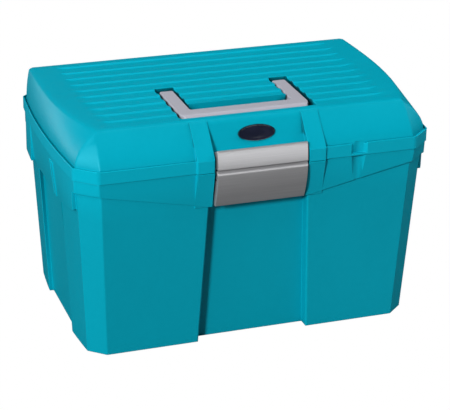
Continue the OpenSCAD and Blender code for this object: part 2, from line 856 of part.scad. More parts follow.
// Tray with a long spine, a hand slot and guides for the dividers
module lift_out_tray() {
    inner_half = tray_half - tray_wall;
    inner_depth = tray_depth_half - tray_wall;
    color(pale_grey) difference() {
        union() {
            difference() {
                span([-tray_half, -tray_depth_half, tray_low], [tray_half, tray_depth_half, tray_top]);
                span([-inner_half, -inner_depth, tray_low + tray_wall],
                     [inner_half, inner_depth, tray_top + over]);
            }
            both_sides() span([inner_half, -ledge_half, tray_top - rim_t],
                              [tray_half + tray_flange, ledge_half, tray_top]);
            span([-inner_half, -spine_t / 2, tray_low], [inner_half, spine_t / 2, tray_top]);
            divider_guides(-divider_x, -1);
            divider_guides(divider_x, 1);
        }
        span([-slot_half, -spine_t, tray_top - slot_drop - slot_h],
             [slot_half, spine_t, tray_top - slot_drop]);
    }
}

// Two pairs of upright guides for a divider at x, in the row on the given side of the spine
module divider_guides(x, side) {
    gap = divider_t / 2 + run_gap;
    for (flip = [-1, 1]) {
        x0 = x + flip * (gap + guide_w / 2) - guide_w / 2;
        y_out = side * (tray_depth_half - tray_wall);
        y_in = side * spine_t / 2;
        for (y = [min(y_out, y_out - side * guide_d), min(y_in, y_in + side * guide_d)])
            span([x0, y, tray_low], [x0 + guide_w, y + guide_d, tray_top - divider_drop]);
    }
}

// Divider plate of one row
module tray_divider(x, side) {
    near = spine_t / 2 + run_gap;
    far = tray_depth_half - tray_wall - run_gap;
    color(pale_grey) span(
        [x - divider_t / 2, min(side * near, side * far), tray_low + tray_wall],
        [x + divider_t / 2, max(side * near, side * far), tray_top - divider_drop]);
}

module tray_divider_front() {
    tray_divider(-divider_x, -1);
}

module tray_divider_rear() {
    tray_divider(divider_x, 1);
}

base_shell();
lid_shell();
hinge_pin_left();
hinge_pin_right();
carry_handle();
handle_pin_left();
handle_pin_right();
latch_plate();
latch_lever();
latch_pin();
latch_screws();
badge();
lift_out_tray();
tray_divider_front();
tray_divider_rear();
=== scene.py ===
"""Looks of a moulded grooming box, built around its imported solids.

Each moulding is a copy of its solid with rounded edges and a procedural finish. The badge and the
screws get finer shapes of their own. Metres, +Z up, the latch towards -Y.
"""

import logging
import math
from dataclasses import dataclass, field, replace
from enum import Enum
from typing import Any, Callable

import bmesh
import bpy
from mathutils import Matrix, Vector


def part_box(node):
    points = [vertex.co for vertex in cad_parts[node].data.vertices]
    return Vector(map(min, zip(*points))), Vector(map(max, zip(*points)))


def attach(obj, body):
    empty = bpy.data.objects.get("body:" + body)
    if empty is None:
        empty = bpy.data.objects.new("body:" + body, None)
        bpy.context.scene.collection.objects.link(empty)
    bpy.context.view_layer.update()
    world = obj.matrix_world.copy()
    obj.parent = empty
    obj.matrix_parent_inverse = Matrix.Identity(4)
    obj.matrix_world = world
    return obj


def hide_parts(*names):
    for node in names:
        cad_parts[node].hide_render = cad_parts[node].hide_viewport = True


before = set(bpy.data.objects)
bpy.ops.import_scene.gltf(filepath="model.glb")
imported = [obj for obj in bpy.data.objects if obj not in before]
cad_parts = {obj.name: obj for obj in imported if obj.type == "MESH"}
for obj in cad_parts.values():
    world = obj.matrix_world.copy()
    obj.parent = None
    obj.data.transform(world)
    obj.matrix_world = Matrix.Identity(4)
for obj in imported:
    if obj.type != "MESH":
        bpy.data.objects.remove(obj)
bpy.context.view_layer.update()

log = logging.getLogger("grooming_box")

MM = 0.001
TINY = 1e-6
Rgb = tuple[float, float, float]
RadiusRule = Callable[[Vector, Vector, float], float]


class Body(Enum):
    """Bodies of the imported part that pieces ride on."""

    BASE = "base"
    LID = "lid"
    HANDLE = "handle"
    LEVER = "lever"
    TRAY = "tray"


class Slot(Enum):
    """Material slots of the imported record."""

    SHELL = "body"
    GREY = "grey_plastic"
    BADGE = "badge"
    TRAY = "tray"
    STEEL = "steel"


class Sock:
    """One output of a shader graph, which takes part in Python sums."""

    def __init__(self, graph: "Graph", socket: bpy.types.NodeSocket) -> None:
        """Keeps the graph and the socket."""
        self.graph = graph
        self.socket = socket

    def _math(self, operation: str, first: Any, second: Any) -> "Sock":
        """Adds a Math node for one operation."""
        return self.graph.node("ShaderNodeMath", {"operation": operation}, {0: first, 1: second})

    def __add__(self, other: Any) -> "Sock":
        """Sum with a socket or number."""
        return self._math("ADD", self, other)

    def __radd__(self, other: Any) -> "Sock":
        """Sum with a number on the left."""
        return self._math("ADD", other, self)

    def __sub__(self, other: Any) -> "Sock":
        """Difference from a socket or number."""
        return self._math("SUBTRACT", self, other)

    def __rsub__(self, other: Any) -> "Sock":
        """Difference from a number on the left."""
        return self._math("SUBTRACT", other, self)

    def __mul__(self, other: Any) -> "Sock":
        """Product with a socket or number."""
        return self._math("MULTIPLY", self, other)

    def __rmul__(self, other: Any) -> "Sock":
        """Product with a number on the left."""
        return self._math("MULTIPLY", other, self)

    def steps(self, low: float, high: float) -> "Sock":
        """Smooth step from 0 at low to 1 at high."""
        settings = {"interpolation_type": "SMOOTHSTEP"}
        return self.graph.node("ShaderNodeMapRange", settings, {0: self, 1: low, 2: high})


class Graph:
    """Shader graph of one material.

    Attributes:
        EDGE_SAMPLES, GAP_SAMPLES: rays of the nodes that find edges and gaps.
        EDGE_FROM, EDGE_FULL: bends of the normal where an edge starts to show and shows in full.
    """

    EDGE_SAMPLES = 4
    EDGE_FROM, EDGE_FULL = 0.004, 0.16
    GAP_SAMPLES = 8

    def __init__(self, name: str) -> None:
        """Starts an empty node material.

        Args:
            name: name of the material.
        """
        self.material = bpy.data.materials.new(name)
        self.material.use_nodes = True
        self.tree = self.material.node_tree
        self.tree.nodes.clear()

    def node(
        self,
        kind: str,
        settings: dict[str, Any] | None = None,
        inputs: dict[int | str, Any] | None = None,
        out: int | str = 0,
    ) -> Sock | None:
        """Adds any node.

        Args:
            kind: the node's type.
            settings: its own properties, which are set first.
            inputs: values or links of its sockets.
            out: the output that is wanted.

        Returns:
            The wanted output, or None for a node without outputs.
        """
        made = self.tree.nodes.new(kind)
        for key, value in (settings or {}).items():
            setattr(made, key, value)
        for key, value in (inputs or {}).items():
            if isinstance(value, Sock):
                self.tree.links.new(value.socket, made.inputs[key])
            else:
                made.inputs[key].default_value = value
        return Sock(self, made.outputs[out]) if made.outputs else None

    def place(self, scale: Rgb = (1.0, 1.0, 1.0), turn: Rgb = (0.0, 0.0, 0.0)) -> Sock:
        """Object coordinates, stretched and turned.

        Args:
            scale: factor along each axis.
            turn: turn about each axis, in radians.

        Returns:
            The coordinates.
        """
        coords = self.node("ShaderNodeTexCoord", out="Object")
        return self.node("ShaderNodeMapping", None, {"Vector": coords, "Scale": scale, "Rotation": turn})

    def noise(self, coords: Sock, size: float, detail: float = 2.0, rough: float = 0.5) -> Sock:
        """Cloudy pattern.

        Args:
            coords: where it is read.
            size: size of its largest patches, in metres.
            detail: octaves.
            rough: weight of the finer octaves.

        Returns:
            A value around 0.5.
        """
        sockets = {"Vector": coords, "Scale": 1.0 / size, "Detail": detail, "Roughness": rough}
        return self.node("ShaderNodeTexNoise", None, sockets)

    def mix(self, factor: Any, first: Any, second: Any) -> Sock:
        """Colour between two colours."""
        return self.node("ShaderNodeMix", {"data_type": "RGBA"}, {0: factor, 6: first, 7: second}, out=2)

    def edges(self, radius: float) -> Sock:
        """Mask of the sharp edges.

        Args:
            radius: how far an edge reaches into its faces, in metres.

        Returns:
            A value from 0 on flat faces to 1 on edges.
        """
        soft = self.node("ShaderNodeBevel", {"samples": self.EDGE_SAMPLES}, {"Radius": radius})
        plain = self.node("ShaderNodeNewGeometry", out="Normal")
        settings = {"operation": "DOT_PRODUCT"}
        cosine = self.node("ShaderNodeVectorMath", settings, {0: soft, 1: plain}, out="Value")
        return (1.0 - cosine).steps(self.EDGE_FROM, self.EDGE_FULL)

    def crevice(self, reach: float, low: float, high: float) -> Sock:
        """Mask of the gaps, where shade is painted.

        Args:
            reach: how far the surroundings count, in metres.
            low: share of closed surroundings where the painted shade starts.
            high: share of closed surroundings where it is full.

        Returns:
            A value from 0 in the open to 1 in gaps.
        """
        settings = {"samples": self.GAP_SAMPLES}
        openness = self.node("ShaderNodeAmbientOcclusion", settings, {"Distance": reach}, out="AO")
        return (1.0 - openness).steps(low, high)

    def bump(self, height: Sock, strength: float, distance: float) -> Sock:
        """Surface normal raised by a height.

        Args:
            height: the height.
            strength: how strong it acts.
            distance: real height of one unit, in metres.

        Returns:
            The normal.
        """
        sockets = {"Height": height, "Strength": strength, "Distance": distance}
        return self.node("ShaderNodeBump", None, sockets)

    def surface(self, **sockets: Any) -> bpy.types.Material:
        """Closes the graph with one surface shader.

        Args:
            sockets: the shader's sockets, with underscores for spaces.

        Returns:
            The finished material.
        """
        named = {key.replace("_", " "): value for key, value in sockets.items()}
        shader = self.node("ShaderNodeBsdfPrincipled", None, named)
        self.node("ShaderNodeOutputMaterial", None, {"Surface": shader})
        return self.material


def rgba(colour: Rgb, gain: float = 1.0) -> tuple[float, float, float, float]:
    """Colour with alpha, made lighter or darker by a gain."""
    return (colour[0] * gain, colour[1] * gain, colour[2] * gain, 1.0)


@dataclass(frozen=True)
class MouldedPlastic:
    """Injection moulded plastic with a fine eroded grain and faint flow marks, with a painted highlight
    on its edges, painted shade in its gaps and an optional band of painted light.

    Attributes:
        tint: colour of the reflections that are seen head-on.
        grain, grain_height, grain_strength: size, height and strength of the eroded grain.
        flow, flow_stretch, flow_depth: size and stretch of the flow marks, and their share of the colour.
        mottle, mottle_share, mottle_gloss: size of the finer clouds, their share of the flow marks and
            of the roughness.
        scuff, scuff_stretch, scuff_turn, scuff_gloss: size, stretch and lie of the rubbed streaks, and
            the roughness that they add.
        edge, edge_share: width of the painted highlight along the edges and how much of its colour shows.
        gap, gap_open, gap_shut, gap_gain: reach of the painted shade in gaps, the closeness where it
            starts and is full, and its brightness.
        slit, slit_open, slit_shut, slit_from, slit_fade: the same painted shade for narrow slits above a
        height, 0 for none.
        pale, pale_from, pale_full, pale_to: gain of a band made paler as painted light, and the heights
            where it starts, is full and ends.
    """

    name: str
    colour: Rgb
    edge_colour: Rgb
    roughness: float = 0.42
    specular: float = 0.35
    tint: Rgb = (1.0, 1.0, 1.0)
    grain: float = 0.7 * MM
    grain_height: float = 0.02 * MM
    grain_strength: float = 0.5
    flow: float = 90 * MM
    flow_stretch: Rgb = (1.0, 1.0, 0.45)
    flow_depth: float = 0.035
    mottle: float = 6 * MM
    mottle_share: float = 0.25
    mottle_gloss: float = 0.10
    scuff: float = 55 * MM
    scuff_stretch: Rgb = (1.0, 9.0, 9.0)
    scuff_turn: Rgb = (0.2, 0.5, 0.35)
    scuff_gloss: float = 0.05
    edge: float = 1.2 * MM
    edge_share: float = 0.5
    gap: float = 9 * MM
    gap_open: float = 0.45
    gap_shut: float = 0.95
    gap_gain: float = 0.4
    slit: float = 0.0
    slit_open: float = 0.25
    slit_shut: float = 0.5
    slit_from: float = 0.0
    slit_fade: float = 3 * MM
    pale: float = 0.0
    pale_from: float = 0.0
    pale_full: float = 0.0
    pale_to: float = 0.0

    def material(self) -> bpy.types.Material:
        """Builds the finish as a node material."""
        graph = Graph(self.name)
        plain = graph.place()
        height = graph.node("ShaderNodeSeparateXYZ", None, {0: plain}, out="Z")
        flow = graph.noise(graph.place(self.flow_stretch), self.flow, detail=3.0, rough=0.55)
        grain = graph.noise(plain, self.grain, detail=3.0, rough=0.6)
        mottle = graph.noise(plain, self.mottle)
        streaks = graph.place(self.scuff_stretch, self.scuff_turn)
        scuff = graph.noise(streaks, self.scuff, detail=4.0, rough=0.65)
        clouds = flow * (1.0 - self.mottle_share) + mottle * self.mottle_share
        darker = rgba(self.colour, 1.0 - self.flow_depth)
        lighter = rgba(self.colour, 1.0 + self.flow_depth)
        body = graph.mix(clouds.steps(low=0.25, high=0.75), darker, lighter)
        # Painted light: a band of heights is made paler where the upper walls and flange catch more
        # light.
        if self.pale:
            above = height.steps(self.pale_from, self.pale_full)
            below = 1.0 - height.steps(self.pale_to, self.pale_to + MM)
            body = graph.mix(above * below, body, rgba(self.colour, 1.0 + self.pale))
        # Painted highlight: the edges are lightened towards the edge colour.
        body = graph.mix(graph.edges(self.edge) * self.edge_share, body, rgba(self.edge_colour))
        # Painted shade: gaps and hollows are darkened towards a dark shade of the colour.
        painted_shade_colour = rgba(self.colour, self.gap_gain)
        body = graph.mix(graph.crevice(self.gap, self.gap_open, self.gap_shut), body, painted_shade_colour)
        # Painted shade: narrow slits above a height are darkened as well.
        if self.slit:
            high_up = height.steps(self.slit_from, self.slit_from + self.slit_fade)
            narrow = graph.crevice(self.slit, self.slit_open, self.slit_shut)
            body = graph.mix(narrow * high_up, body, painted_shade_colour)
        rubbed = scuff.steps(low=0.60, high=0.78)
        roughness = self.roughness + (mottle - 0.5) * self.mottle_gloss + rubbed * self.scuff_gloss
        return graph.surface(
            Base_Color=body,
            Roughness=roughness,
            Specular_IOR_Level=self.specular,
            Specular_Tint=rgba(self.tint),
            Normal=graph.bump(grain, self.grain_strength, self.grain_height),
        )


@dataclass(frozen=True)
class SilverLacquer:
    """Silver lacquer on plastic, with fine lines along the length and a painted highlight on its edges.

    Attributes:
        line, line_stretch, line_share: width and stretch of the fine lines, and their share of the shade.
        band, band_stretch, band_share: the same of the broad bands.
        fleck, fleck_share: size of the flecks and their share of the shade.
        dark, light: gains of the colour between which the shade runs.
        line_gloss, fleck_gloss: changes of the roughness with the lines and the flecks.
        line_relief, fleck_relief: their shares of the relief.
        relief, strength: height of the relief and how strong it acts.
        edge, edge_share: width of the painted highlight along the edges and how much of its colour shows.
    """

    name: str
    colour: Rgb
    edge_colour: Rgb
    metallic: float = 0.6
    roughness: float = 0.40
    specular: float = 0.3
    line: float = 0.9 * MM
    line_stretch: Rgb = (0.012, 1.0, 1.0)
    line_share: float = 0.55
    band: float = 7 * MM
    band_stretch: Rgb = (0.03, 1.0, 1.0)
    band_share: float = 0.25
    fleck: float = 0.35 * MM
    fleck_share: float = 0.2
    dark: float = 0.90
    light: float = 1.08
    line_gloss: float = 0.16
    fleck_gloss: float = 0.08
    line_relief: float = 0.7
    fleck_relief: float = 0.3
    relief: float = 0.02 * MM
    strength: float = 0.25
    edge: float = 0.8 * MM
    edge_share: float = 0.2

    def material(self) -> bpy.types.Material:
        """Builds the finish as a node material."""
        graph = Graph(self.name)
        lines = graph.noise(graph.place(self.line_stretch), self.line, detail=3.0, rough=0.65)
        bands = graph.noise(graph.place(self.band_stretch), self.band)
        fleck = graph.noise(graph.place(), self.fleck)
        shade = lines * self.line_share + bands * self.band_share + fleck * self.fleck_share
        darker, lighter = rgba(self.colour, self.dark), rgba(self.colour, self.light)
        body = graph.mix(shade.steps(low=0.3, high=0.7), darker, lighter)
        # Painted highlight: the edges are lightened towards the edge colour.
        body = graph.mix(graph.edges(self.edge) * self.edge_share, body, rgba(self.edge_colour))
        relief = lines * self.line_relief + fleck * self.fleck_relief
        return graph.surface(
            Base_Color=body,
            Metallic=self.metallic,
            Roughness=self.roughness + (lines - 0.5) * self.line_gloss + (fleck - 0.5) * self.fleck_gloss,
            Specular_IOR_Level=self.specular,
            Normal=graph.bump(relief, self.strength, self.relief),
        )


@dataclass(frozen=True)
class DrawnSteel:
    """Drawn steel rod with fine lines along its length and a faint stain.

    Attributes:
        line, line_stretch: width and stretch of the drawn lines.
        line_height, line_strength, line_gloss: their height, how strong it acts, and their change of
            the roughness.
        stain, stain_gain, stain_gloss: size of the stains, their gain of the colour and what they add
            to the roughness.
    """

    name: str
    colour: Rgb
    roughness: float = 0.28
    line: float = 0.35 * MM
    line_stretch: Rgb = (0.02, 1.0, 1.0)
    line_height: float = 0.02 * MM
    line_strength: float = 0.3
    line_gloss: float = 0.25
    stain: float = 9 * MM
    stain_gain: float = 0.8
    stain_gloss: float = 0.08

    def material(self) -> bpy.types.Material:
        """Builds the finish as a node material."""
        graph = Graph(self.name)
        lines = graph.noise(graph.place(self.line_stretch), self.line, detail=3.0, rough=0.6)
        stain = graph.noise(graph.place(), self.stain, detail=3.0, rough=0.6)
        stained = rgba(self.colour, self.stain_gain)
        return graph.surface(
            Base_Color=graph.mix(stain.steps(low=0.35, high=0.75), rgba(self.colour), stained),
            Metallic=1.0,
            Roughness=self.roughness + (lines - 0.5) * self.line_gloss + stain * self.stain_gloss,
            Normal=graph.bump(lines, self.line_strength, self.line_height),
        )


@dataclass(frozen=True)
class BadgeEnamel:
    """Dark gloss enamel with a fine fleck under a clear coat.

    Attributes:
        fleck: colour of the flecks.
        coat_roughness: roughness of the clear coat.
        fine, fine_share: size of the fine pattern and its share of the flecks.
        cloud, cloud_share, cloud_gloss: size of the clouds, their share of the flecks and their change
            of the roughness.
        cloud_height, cloud_strength: height of the clouds' relief and how strong it acts.
    """

    name: str
    colour: Rgb
    fleck: Rgb
    roughness: float = 0.16
    coat_roughness: float = 0.05
    fine: float = 0.4 * MM
    fine_share: float = 0.6
    cloud: float = 14 * MM
    cloud_share: float = 0.4
    cloud_gloss: float = 0.06
    cloud_height: float = 0.05 * MM
    cloud_strength: float = 0.1

    def material(self) -> bpy.types.Material:
        """Builds the finish as a node material."""
        graph = Graph(self.name)
        fine = graph.noise(graph.place(), self.fine)
        cloud = graph.noise(graph.place(), self.cloud)
        flecked = (fine * self.fine_share + cloud * self.cloud_share).steps(low=0.45, high=0.75)
        return graph.surface(
            Base_Color=graph.mix(flecked, rgba(self.colour), rgba(self.fleck)),
            Roughness=self.roughness + (cloud - 0.5) * self.cloud_gloss,
            Coat_Weight=1.0,
            Coat_Roughness=self.coat_roughness,
            Normal=graph.bump(cloud, self.cloud_strength, self.cloud_height),
        )


@dataclass(frozen=True)
class PaleFloor:
    """Matt pale studio floor with a barely visible unevenness.

    Attributes:
        glow: strength of the white light that it gives off.
        patch, dip: size of the duller patches in metres, and their gain of the colour.
    """

    name: str
    colour: Rgb
    glow: float
    patch: float = 0.5
    dip: float = 0.98
    roughness: float = 0.9

    def material(self) -> bpy.types.Material:
        """Builds the finish as a node material."""
        graph = Graph(self.name)
        cloud = graph.noise(graph.place(), self.patch, detail=3.0)
        return graph.surface(
            Base_Color=graph.mix(cloud, rgba(self.colour, self.dip), rgba(self.colour)),
            Roughness=self.roughness,
            Specular_IOR_Level=0.0,
            Emission_Color=rgba((1.0, 1.0, 1.0)),
            Emission_Strength=self.glow,
        )


# Edge colours are painted highlights, the tub's pale band is painted light on its upper walls, and its
# gaps get painted shade.
TUB_PLASTIC = MouldedPlastic(
    "turquoise_tub",
    colour=(0.0, 0.30, 0.405),
    edge_colour=(0.002, 0.42, 0.54),
    tint=(0.18, 0.85, 1.0),
    pale=0.16,
    pale_from=150 * MM,
    pale_full=198 * MM,
    pale_to=210 * MM,
)
# The lid's flange band is made paler as painted light, and its gaps and the slits of the handle well get
# darker painted shade.
LID_PLASTIC = replace(
    TUB_PLASTIC,
    name="turquoise_lid",
    gap_gain=0.12,
    slit=14 * MM,
    slit_from=224 * MM,
    pale=0.20,
    pale_from=198 * MM,
    pale_full=199 * MM,
    pale_to=213.5 * MM,
)
# The edge colours below are painted highlights along the edges.
GREY_PLASTIC = MouldedPlastic(
    "grey_plastic",
    colour=(0.36, 0.36, 0.41),
    edge_colour=(0.56, 0.55, 0.60),
    roughness=0.36,
    specular=0.45,
    flow_depth=0.02,
    edge=0.8 * MM,
)
TRAY_PLASTIC = MouldedPlastic(
    "pale_tray_plastic", colour=(0.58, 0.59, 0.60), edge_colour=(0.70, 0.71, 0.72), flow_depth=0.02
)
SILVER = SilverLacquer("silver_lacquer", colour=(0.46, 0.46, 0.475), edge_colour=(0.66, 0.66, 0.68))
STEEL = DrawnSteel("drawn_steel", colour=(0.56, 0.57, 0.58))
ENAMEL = BadgeEnamel("badge_enamel", colour=(0.008, 0.010, 0.022), fleck=(0.018, 0.020, 0.040))
SEEN_FLOOR = PaleFloor("pale_floor", colour=(0.16, 0.16, 0.16), glow=1.0)
BOUNCE_CARD = PaleFloor("bounce_card", colour=(0.3, 0.3, 0.3), glow=0.0)


@dataclass
class Rounding:
    """Rounds the edges of a copied solid with a bevel of a width for each edge.

    Attributes:
        radius: the usual width.
        fold: least angle between two faces that counts as an edge.
        segments: faces across a round.
        rule: width for an edge from its middle, its direction and its length, 0 for the usual one.
        flat: angle up to which neighbouring faces are merged.
        merge: distance up to which corners are merged.
        least: width under which an edge stays sharp.
        widest: width of a full bevel weight.
        shared: share of a face that one of two rounds may take.
        slack: change of width along a line of edges, as a share of their length.
        bend: cosine between two edges that counts as one line.
        spots: places along an edge where its faces are measured, as shares of its length.
        ring_share, ring_corners: share of its extent that a ring fills at most, and its least corners.
    """

    radius: float = 0.6 * MM
    fold: float = math.radians(26.0)
    segments: int = 3
    rule: RadiusRule | None = None
    flat: float = math.radians(0.35)
    merge: float = 0.002 * MM
    least: float = 0.08 * MM
    widest: float = 6.0 * MM
    shared: float = 0.42
    slack: float = 0.35
    bend: float = -0.7
    spots: tuple[float, ...] = (0.25, 0.5, 0.75)
    ring_share: float = 0.3
    ring_corners: int = 8

    def wanted(self, edge: bmesh.types.BMEdge) -> float:
        """Width that an edge should get.

        Args:
            edge: the edge.

        Returns:
            The rule's width, or else the usual one.
        """
        first, second = (v.co for v in edge.verts)
        length = edge.calc_length()
        own = self.rule((first + second) / 2, (second - first) / length, length) if self.rule else 0.0
        return own or self.radius

    def room(self, edge: bmesh.types.BMEdge, folds: set[bmesh.types.BMEdge]) -> float:
        """Room for a round at both ends of an edge.

        Args:
            edge: the edge.
            folds: all edges that are rounded.

        Returns:
            The widest round that the neighbouring edges leave.
        """
        found = math.inf
        for vert in edge.verts:
            along = (edge.other_vert(vert).co - vert.co).normalized()
            beside = {e for f in edge.link_faces for e in f.edges if vert in e.verts and e is not edge}
            for other in beside:
                far = other.other_vert(vert)
                cosine = max(-1.0, min(1.0, along.dot((far.co - vert.co).normalized())))
                sine = math.sqrt(1.0 - cosine * cosine)
                if other in folds:
                    reach = sine / max(1.0 + cosine, TINY)
                    found = min(found, self.shared * min(other.calc_length(), edge.calc_length()) * reach)
                else:
                    crowded = any(e in folds for e in far.link_edges)
                    share = self.shared if crowded else 2 * self.shared
                    found = min(found, share * other.calc_length() * sine)
        return found

    def across(self, edge: bmesh.types.BMEdge) -> float:
        """Distance from an edge to the other side of its narrower face.

        Args:
            edge: the edge.

        Returns:
            The least distance from the measured spots of the edge.
        """
        found = math.inf
        for loop in edge.link_loops:
            start = loop.vert.co
            along = loop.link_loop_next.vert.co - start
            length = along.length
            along = along / length
            inward = loop.face.normal.cross(along)
            for other in loop.face.loops:
                if other in (loop, loop.link_loop_next, loop.link_loop_prev):
                    continue
                first, second = other.vert.co - start, other.link_loop_next.vert.co - start
                near, far = first.dot(along), second.dot(along)
                for spot in (share * length for share in self.spots):
                    if (near - spot) * (far - spot) < 0.0:
                        depth = first.lerp(second, (spot - near) / (far - near)).dot(inward)
                        if depth > 0.0:
                            found = min(found, depth)
        return found

    def even(self, widths: dict[bmesh.types.BMEdge, float]) -> None:
        """Evens out the widths along each line of edges, since a sudden change throws a corner far out.

        Args:
            widths: the width of each fold, which are lowered where they have to be.
        """
        pairs = []
        for first in widths:
            for vert in first.verts:
                along = (first.other_vert(vert).co - vert.co).normalized()
                for second in vert.link_edges:
                    if second is first or second not in widths:
                        continue
                    cosine = along.dot((second.other_vert(vert).co - vert.co).normalized())
                    if cosine < self.bend:
                        sine = math.sqrt(max(0.0, 1.0 - cosine * cosine))
                        length = min(first.calc_length(), second.calc_length())
                        pairs.append((first, second, self.slack * length * sine))
        changed = True
        while changed:
            changed = False
            for first, second, slack in pairs:
                if widths[first] > widths[second] + slack + TINY * MM:
                    widths[first] = widths[second] + slack
                    changed = True

    def weigh(self, mesh: bmesh.types.BMesh) -> None:
        """Gives every fold of a merged mesh its bevel weight.

        Args:
            mesh: the mesh, with its weight layer.
        """
        weight = mesh.edges.layers.float["bevel_weight_edge"]
        for face in mesh.faces:
            face.smooth = True
        folds = {e for e in mesh.edges if len(e.link_faces) == 2 and e.calc_face_angle(0.0) > self.fold}
        widths = {
            e: min(self.wanted(e), self.room(e, folds), self.shared * self.across(e)) for e in folds
        }
        self.even(widths)
        for edge, width in widths.items():
            width = width if width > self.least else 0.0
            edge[weight] = width / self.widest
            edge.smooth = width > 0.0

    def is_ring(self, face: bmesh.types.BMFace) -> bool:
        """Tells whether a face runs around an opening.

        Args:
            face: the face.

        Returns:
            True if it fills little of its own extent.
        """
        corners = [v.co for v in face.verts]
        spans = sorted(max(c[i] for c in corners) - min(c[i] for c in corners) for i in range(3))
        extent = spans[1] * spans[2]
        return len(corners) > self.ring_corners and face.calc_area() < self.ring_share * extent

    def apply(self, piece: bpy.types.Object) -> None:
        """Merges the piece's loose triangles and rounds its edges.

        Args:
            piece: a mesh object that copies a solid.
        """
        mesh = bmesh.new()
        mesh.from_mesh(piece.data)
        bmesh.ops.remove_doubles(mesh, verts=mesh.verts, dist=self.merge)
        bmesh.ops.dissolve_limit(mesh, angle_limit=self.flat, verts=mesh.verts, edges=mesh.edges)
        bmesh.ops.dissolve_degenerate(mesh, dist=self.merge, edges=mesh.edges)
        # A ring that stays whole would be split across its opening after the rounds are made.
        bmesh.ops.connect_verts_concave(mesh, faces=[f for f in mesh.faces if self.is_ring(f)])
        mesh.edges.layers.float.new("bevel_weight_edge")
        self.weigh(mesh)
        bevel = piece.modifiers.new("rounds", "BEVEL")
        bevel.limit_method = "WEIGHT"
        bevel.offset_type = "OFFSET"
        bevel.width = self.widest
        bevel.segments = self.segments
        bevel.profile = 0.5
        # Every edge has its own limit, and clamping would narrow all of them to the tightest.
        bevel.use_clamp_overlap = False
        bevel.miter_outer = "MITER_ARC"
        bevel.material = -1
        mesh.to_mesh(piece.data)
        mesh.free()
        normals = piece.modifiers.new("flat_faces", "WEIGHTED_NORMAL")
        normals.keep_sharp = True


class Assembly:
    """Shared steps of the sub-assemblies."""

    def copy_of(self, node: str, body: Body, slot: Slot, name: str) -> bpy.types.Object:
        """Copies a node's solid as a new piece that stands for it.

        Args:
            node: the node.
            body: the body that the piece rides on.
            slot: the record's material slot.
            name: the piece's name.

        Returns:
            The new piece.
        """
        piece = bpy.data.objects.new(name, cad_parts[node].data.copy())
        bpy.context.scene.collection.objects.link(piece)
        return self.claim(piece, (node,), body, slot)

    def claim(
        self, piece: bpy.types.Object, nodes: tuple[str, ...], body: Body, slot: Slot
    ) -> bpy.types.Object:
        """Lets a piece ride on a body and stand for nodes.

        Args:
            piece: the piece.
            nodes: the nodes that it replaces.
            body: its body.
            slot: the record's material slot, not used.

        Returns:
            The piece.
        """
        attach(piece, body.value)
        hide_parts(*nodes)
        log.info("built %s on %s", piece.name, body.value)
        return piece

    def dress(self, piece: bpy.types.Object, material: bpy.types.Material) -> None:
        """Gives a piece one finish."""
        piece.data.materials.clear()
        piece.data.materials.append(material)


@dataclass
class BaseTub(Assembly):
    """Lower shell with its recesses, collar and knuckles.

    Attributes:
        finish: its material.
        edge, corner, recess, foot: widths of the usual rounds and those of corners, recesses and foot.
        foot_height: height under which an edge belongs to the foot.
        corner_x, corner_y: distances from the middle past which an upright edge belongs to a corner.
        recess_length: length past which any other upright edge belongs to a recess.
        upright: upward share of its direction past which an edge is upright.
    """

    finish: bpy.types.Material
    edge: float = 0.6 * MM
    corner: float = 4.0 * MM
    recess: float = 2.2 * MM
    foot: float = 0.6 * MM
    foot_height: float = 0.5 * MM
    corner_x: float = 140 * MM
    corner_y: float = 85 * MM
    recess_length: float = 30 * MM
    upright: float = 0.9

    def radius_of(self, middle: Vector, along: Vector, length: float) -> float:
        """Width of a round from its edge's place.

        Args:
            middle: the middle of the edge.
            along: its direction.
            length: its length.

        Returns:
            The width, or 0 for the usual one.
        """
        upright = abs(along.z) > self.upright
        if upright and abs(middle.x) > self.corner_x and abs(middle.y) > self.corner_y:
            return self.corner
        if upright and length > self.recess_length:
            return self.recess
        if middle.z < self.foot_height:
            return self.foot
        return 0.0

    def build(self) -> None:
        """Makes and dresses the shell."""
        shell = self.copy_of("base_shell", Body.BASE, Slot.SHELL, "tub")
        Rounding(self.edge, rule=self.radius_of).apply(shell)
        self.dress(shell, self.finish)


@dataclass
class Lid(Assembly):
    """Upper shell with its ridged roof, handle well and latch recess.

    Attributes:
        finish: its material.
        edge, corner, rear_corner: widths of the usual rounds and those of the front and rear corners.
        pilaster, ridge: widths of the rounds beside the latch recess and on the roof's ridges.
        ridge_height: depth below the crown to which an edge belongs to a ridge.
        crown: height of the roof.
        corner_x, corner_y: distances from the middle past which a rising edge belongs to a corner.
        pilaster_low, pilaster_high, pilaster_y: distances from the middle between which a rising edge
            stands beside the latch recess, and the depth in front of which it does.
        rising: upward share of its direction past which an edge is rising.
    """

    finish: bpy.types.Material
    edge: float = 0.6 * MM
    corner: float = 3.0 * MM
    rear_corner: float = 1.0 * MM
    pilaster: float = 1.3 * MM
    ridge: float = 0.8 * MM
    ridge_height: float = 1.7 * MM
    crown: float = 247.0 * MM
    corner_x: float = 140 * MM
    corner_y: float = 85 * MM
    pilaster_low: float = 49 * MM
    pilaster_high: float = 72 * MM
    pilaster_y: float = -95 * MM
    rising: float = 0.5

    def radius_of(self, middle: Vector, along: Vector, length: float) -> float:
        """Width of a round from its edge's place.

        Args:
            middle: the middle of the edge.
            along: its direction.
            length: its length.

        Returns:
            The width, or 0 for the usual one.
        """
        rising = abs(along.z) > self.rising
        if rising and abs(middle.x) > self.corner_x and abs(middle.y) > self.corner_y:
            return self.corner if middle.y < 0.0 else self.rear_corner
        if self.crown - middle.z < self.ridge_height:
            return self.ridge
        beside = self.pilaster_low < abs(middle.x) < self.pilaster_high and middle.y < self.pilaster_y
        if rising and beside:
            return self.pilaster
        return 0.0

    def build(self) -> None:
        """Makes and dresses the shell."""
        shell = self.copy_of("lid_shell", Body.LID, Slot.SHELL, "lid")
        Rounding(self.edge, rule=self.radius_of).apply(shell)
        self.dress(shell, self.finish)


